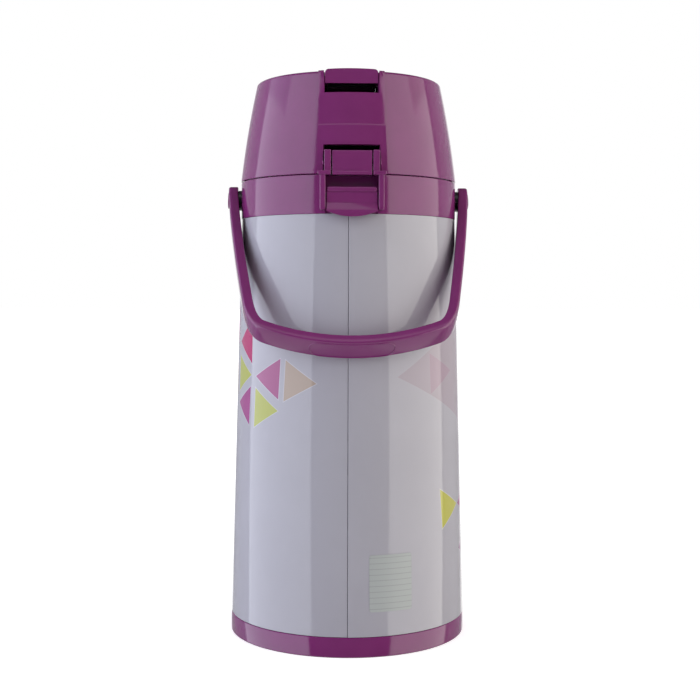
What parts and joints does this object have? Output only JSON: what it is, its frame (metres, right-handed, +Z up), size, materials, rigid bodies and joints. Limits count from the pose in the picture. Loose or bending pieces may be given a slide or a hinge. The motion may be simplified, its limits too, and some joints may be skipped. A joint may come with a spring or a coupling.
{
  "type": "pump pot",
  "caption": "Glass-lined vacuum pump pot with a push-down pump lid, front spout, hinged lid, rear release lever and a swinging bail handle.",
  "frame": {"origin": "centre of the base's underside, on the surface the pot stands on", "axes": "+Z up, -Y towards the spout, +Y towards the lid hinge, +X to the pot's left side seen from the spout"},
  "size_m": [0.1624, 0.1925, 0.368],
  "materials": {
    "sleeve": "glossy pale lavender lacquer with printed triangles",
    "purple": "glossy moulded plastic",
    "dark_purple": "glossy moulded plastic",
    "black_plastic": "matt moulded plastic",
    "white_plastic": "satin food-grade plastic",
    "grey_rubber": "matt silicone rubber",
    "silvered_glass": "silvered glass",
    "clear_glass": "clear glass",
    "steel": "plain steel",
    "label": "satin coated label"
  },
  "bodies": {
    "body": {"body_sleeve": "sleeve", "base_ring": "purple", "base_plug": "dark_purple", "refill_cushion": "grey_rubber", "refill_outer": "silvered_glass", "refill_inner": "clear_glass", "neck_gasket": "grey_rubber", "collar": "purple", "tube_holder": "white_plastic", "dip_tube": "white_plastic", "tube_seal": "grey_rubber", "rating_label": "label", "pivot_spacer_l": "black_plastic", "pivot_spacer_r": "black_plastic", "pivot_screw_l": "steel", "pivot_screw_r": "steel", "hinge_pin": "steel", "lever_pin": "steel", "lever_spring": "steel"},
    "release_lever": {"release_lever": "purple"},
    "handle": {"handle": "purple"},
    "lid": {"lid_shell": "purple", "lid_base": "purple", "stopper": "white_plastic", "stopper_gasket": "grey_rubber", "air_valve": "grey_rubber", "outlet_pipe": "white_plastic", "spout_nozzle": "dark_purple", "bellows": "grey_rubber", "return_spring": "steel", "lid_screw_fl": "steel", "lid_screw_fr": "steel", "lid_screw_rl": "steel", "lid_screw_rr": "steel", "plate_pin": "steel"},
    "press_plate": {"press_plate": "purple"},
    "bellows_cap": {"bellows_cap": "dark_purple"},
    "lock_slider": {"lock_slider": "dark_purple"}
  },
  "joints": [
    {"name": "handle_swing", "type": "hinge", "parent": "body", "child": "handle", "pos_m": [0, 0, 0.2873], "axis": [1, 0, 0], "range_deg": [0, 278.3]},
    {"name": "lid_hinge", "type": "hinge", "parent": "body", "child": "lid", "pos_m": [0, 0.0705, 0.3088], "axis": [-1, 0, 0], "range_deg": [0, 100]},
    {"name": "press_hinge", "type": "hinge", "parent": "lid", "child": "press_plate", "pos_m": [0, 0.05226, 0.3597], "axis": [1, 0, 0], "range_deg": [0, 10], "stiffness_Nm_per_rad": 3, "springref_deg": -5.73, "deforming": ["bellows", "return_spring"]},
    {"name": "cap_slide", "type": "slide", "parent": "lid", "child": "bellows_cap", "axis": [0, 0, -1], "range_m": [0, 0.0093]},
    {"name": "lock_slide", "type": "slide", "parent": "lid", "child": "lock_slider", "axis": [0, 1, 0], "range_m": [0, 0.006]},
    {"name": "lever_hinge", "type": "hinge", "parent": "body", "child": "release_lever", "pos_m": [0, 0.0698, 0.2858], "axis": [1, 0, 0], "range_deg": [0, 12], "stiffness_Nm_per_rad": 0.3, "springref_deg": -5.73}
  ],
  "couplings": [
    {"joint": "cap_slide", "follows": "press_hinge", "m_per_rad": 0.0525}
  ]
}
